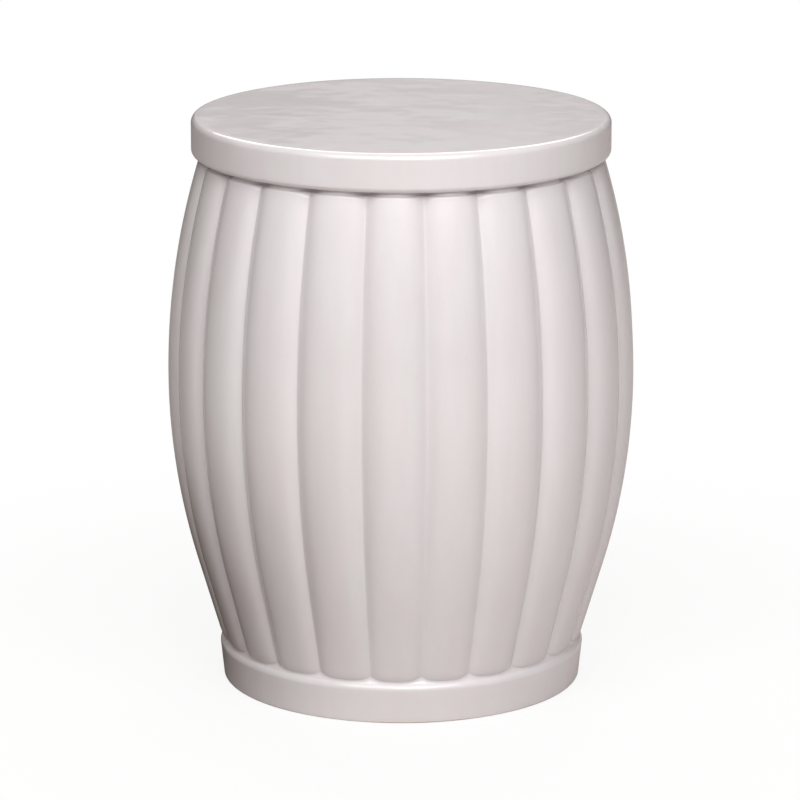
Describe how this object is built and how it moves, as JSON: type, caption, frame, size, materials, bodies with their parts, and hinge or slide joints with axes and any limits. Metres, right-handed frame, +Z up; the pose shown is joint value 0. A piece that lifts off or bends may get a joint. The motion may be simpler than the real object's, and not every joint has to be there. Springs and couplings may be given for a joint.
{
  "type": "garden stool",
  "caption": "Barrel-shaped ceramic stool with rounded upright ribs, a flat round seat and a plain base ring.",
  "frame": {"origin": "centre of the foot, on the ground", "axes": "+Z up along the axis of the barrel, -Y towards the viewer of the picture"},
  "size_m": [0.371, 0.3724, 0.457],
  "materials": {
    "glaze": "glossy off-white glaze with a faint pink cast",
    "fired_slip": "matt fired slip",
    "bare_clay": "matt unglazed stoneware"
  },
  "bodies": {
    "root": {"seat_disc": "glaze", "ribbed_barrel": "glaze", "base_ring": "glaze", "seat_slip_bed": "fired_slip", "base_slip_bed": "fired_slip", "seat_corner_coil": "bare_clay", "base_corner_coil": "bare_clay"}
  },
  "joints": []
}
